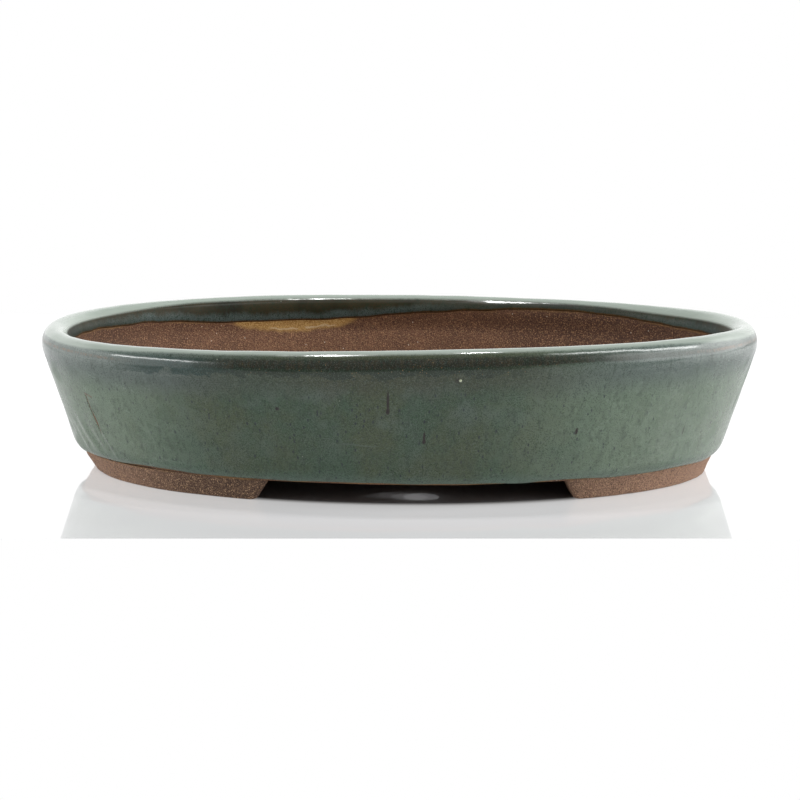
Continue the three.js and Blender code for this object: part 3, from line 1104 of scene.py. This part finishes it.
def add_camera():
    """The camera stands a little left of the pot's middle line and looks slightly down."""
    flat = CAMERA_DISTANCE * math.cos(CAMERA_RISE)
    aim = Vector((0, 0, AIM_Z)) * MM
    offset = Vector((-flat * math.sin(CAMERA_TURN), -flat * math.cos(CAMERA_TURN),
                     CAMERA_DISTANCE * math.sin(CAMERA_RISE))) * MM
    data = bpy.data.cameras.new("camera")
    data.lens = 90
    data.sensor_width = 36
    data.shift_x = -0.0015
    data.shift_y = -0.00835
    camera = bpy.data.objects.new("camera", data)
    bpy.context.scene.collection.objects.link(camera)
    looking = (-offset).to_track_quat("-Z", "Y").to_matrix().to_4x4()
    rolled = looking @ Matrix.Rotation(CAMERA_ROLL, 4, "Z")
    camera.matrix_world = Matrix.Translation(aim + offset) @ rolled
    bpy.context.scene.camera = camera


def add_softbox(name, azimuth, elevation, size, power, tilt=0):
    """A rectangular light aimed at the pot. Azimuth 0 is in front and 90 at its right end;
    tilt turns the light in its own plane."""
    a, e = math.radians(azimuth), math.radians(elevation)
    toward = Vector((math.sin(a) * math.cos(e), -math.cos(a) * math.cos(e), math.sin(e)))
    data = bpy.data.lights.new(name, "AREA")
    data.shape = "RECTANGLE"
    data.size, data.size_y = size
    data.energy = power
    light = bpy.data.objects.new(name, data)
    bpy.context.scene.collection.objects.link(light)
    facing = toward.to_track_quat("Z", "Y").to_matrix().to_4x4()
    turned = facing @ Matrix.Rotation(math.radians(tilt), 4, "Z")
    light.matrix_world = Matrix.Translation(toward * LIGHT_DISTANCE) @ turned
    light.visible_camera = False


def build_world():
    """A white room with a dim ceiling, dark on the camera's side; the camera sees it all white."""
    world = bpy.data.worlds.new("studio")
    bpy.context.scene.world = world
    world.use_nodes = True
    g = Graph(world.node_tree)
    source = g.node("ShaderNodeTexCoord")
    split = g.node("ShaderNodeSeparateXYZ")
    g.tree.links.new(source.outputs["Generated"], split.inputs[0])
    x, y, z = (Value(g, split.outputs[i]) for i in range(3))
    from_front = g.maths("ARCTAN2", abs(x), 0 - y)
    side = g.smooth(from_front, 0.8, 1.25) * g.smooth(from_front, 2.5, 1.9)
    front_or_back = g.smooth(y, -0.3, 0.3, 0.35, 1.25)
    panels = g.smooth(x, -0.3, 0.3, 2.1, 3.9)
    walls = (front_or_back + side * (panels - front_or_back)) * g.smooth(z, 0.45, 0.6, 1, 0)
    upper = g.smooth(z, 0.45, 0.6, 0, 0.5)
    floor = g.smooth(z, -0.03, 0, 0.9, 0)
    strength = floor + g.smooth(z, -0.03, 0) * (walls + upper)
    camera_ray = Value(g, g.node("ShaderNodeLightPath").outputs["Is Camera Ray"])
    strength = camera_ray + (1 - camera_ray) * strength
    background = g.node("ShaderNodeBackground", Strength=strength)
    background.inputs["Color"].default_value = (1, 1, 1, 1)
    output = g.node("ShaderNodeOutputWorld")
    g.tree.links.new(background.outputs[0], output.inputs[0])


def add_table():
    """A sheet of glossy white plastic, whose front edge is just in front of the pot. It glows as
    painted light, a little all over and more just round the pot, filling in the pot's shadow, but
    not right under the pot."""
    material, g = new_material("table_white")
    shader = finish_material(g, (0.38, 0.38, 0.39, 1), 0.03, g.bump(g.noise(300), 0.01), 1.5)
    place = g.node("ShaderNodeVectorMath", {"operation": "DIVIDE"})
    g.tree.links.new(g.place(1.0).socket, place.inputs[0])
    place.inputs[1].default_value = (HEEL_LENGTH, HEEL_WIDTH, 1)
    reach = g.node("ShaderNodeVectorMath", {"operation": "LENGTH"})
    g.tree.links.new(place.outputs[0], reach.inputs[0])
    apart_from_pot = Value(g, reach.outputs["Value"])
    # Painted light: a glow that fills in the pot's shadow round its edge.
    filled_in = g.smooth(apart_from_pot, 0.9, 0.98, 0, 0.42)
    painted_fill_glow = filled_in - g.smooth(apart_from_pot, 1.0, 1.6, 0, 0.15)
    shader.inputs["Emission Color"].default_value = (1, 1, 1, 1)
    g.feed(shader.inputs["Emission Strength"], painted_fill_glow)
    front = [(-TABLE_HALF, TABLE_FRONT), (TABLE_HALF, TABLE_FRONT)]
    back = [(TABLE_HALF, TABLE_BACK), (-TABLE_HALF, TABLE_BACK)]
    mesh = bpy.data.meshes.new("table")
    mesh.from_pydata([(x * MM, y * MM, 0) for x, y in front + back], [], [(0, 1, 2, 3)])
    mesh.materials.append(material)
    table = bpy.data.objects.new("table", mesh)
    bpy.context.scene.collection.objects.link(table)
    table.location.z = -TABLE_GAP * MM
    table.rotation_euler.z = TABLE_TURN


# ------------ the pot and its studio

glaze = glaze_material("celadon_glaze")
inside_clay = clay_material(
    "inside_clay",
    base=(0.150, 0.069, 0.036),
    light=(0.35, 0.19, 0.095),
    gloom=(0.050, 0.021, 0.012),
    # painted shade towards both ends of the inside
    painted_end_light=(0.036, 0.014, 0.008),
)
foot_clay = clay_material(
    "foot_clay",
    base=(0.100, 0.055, 0.035),
    light=(0.46, 0.29, 0.17),
    gloom=(0.035, 0.018, 0.012),
    # painted light on the feet towards both ends
    painted_end_light=(0.36, 0.205, 0.135),
)

outer_start = outer_edge(ANGLES)
inner_end = inner_edge(ANGLES)
seat = np.full(RING_STEPS, float(skin.outside(SEAT_Z)))
coat("wall_glaze_coat", outer_start, seat, True, False, glaze, "wall_glaze")
coat("lip_glaze_coat", seat, inner_end, False, True, glaze, "lip_glaze")
build_wall(inside_clay)
build_lip(inside_clay)
build_corner(inside_clay)
build_floor(inside_clay)
build_foot("foot_right_clay", 0.0, 31, foot_clay, "foot_right")
build_foot("foot_left_clay", math.pi, 41, foot_clay, "foot_left")

add_camera()
build_world()
add_softbox("overhead_left", -98, 80, (0.2, 0.06), 8)
add_softbox("overhead_right", 100, 79, (0.1, 0.06), 4)
add_softbox("right_softbox", 79, 41, (1.1, 0.2), 8, tilt=-45)
add_softbox("left_strip", -77, 29, (0.9, 0.1), 4)
add_table()
bpy.context.scene.view_settings.view_transform = "Standard"
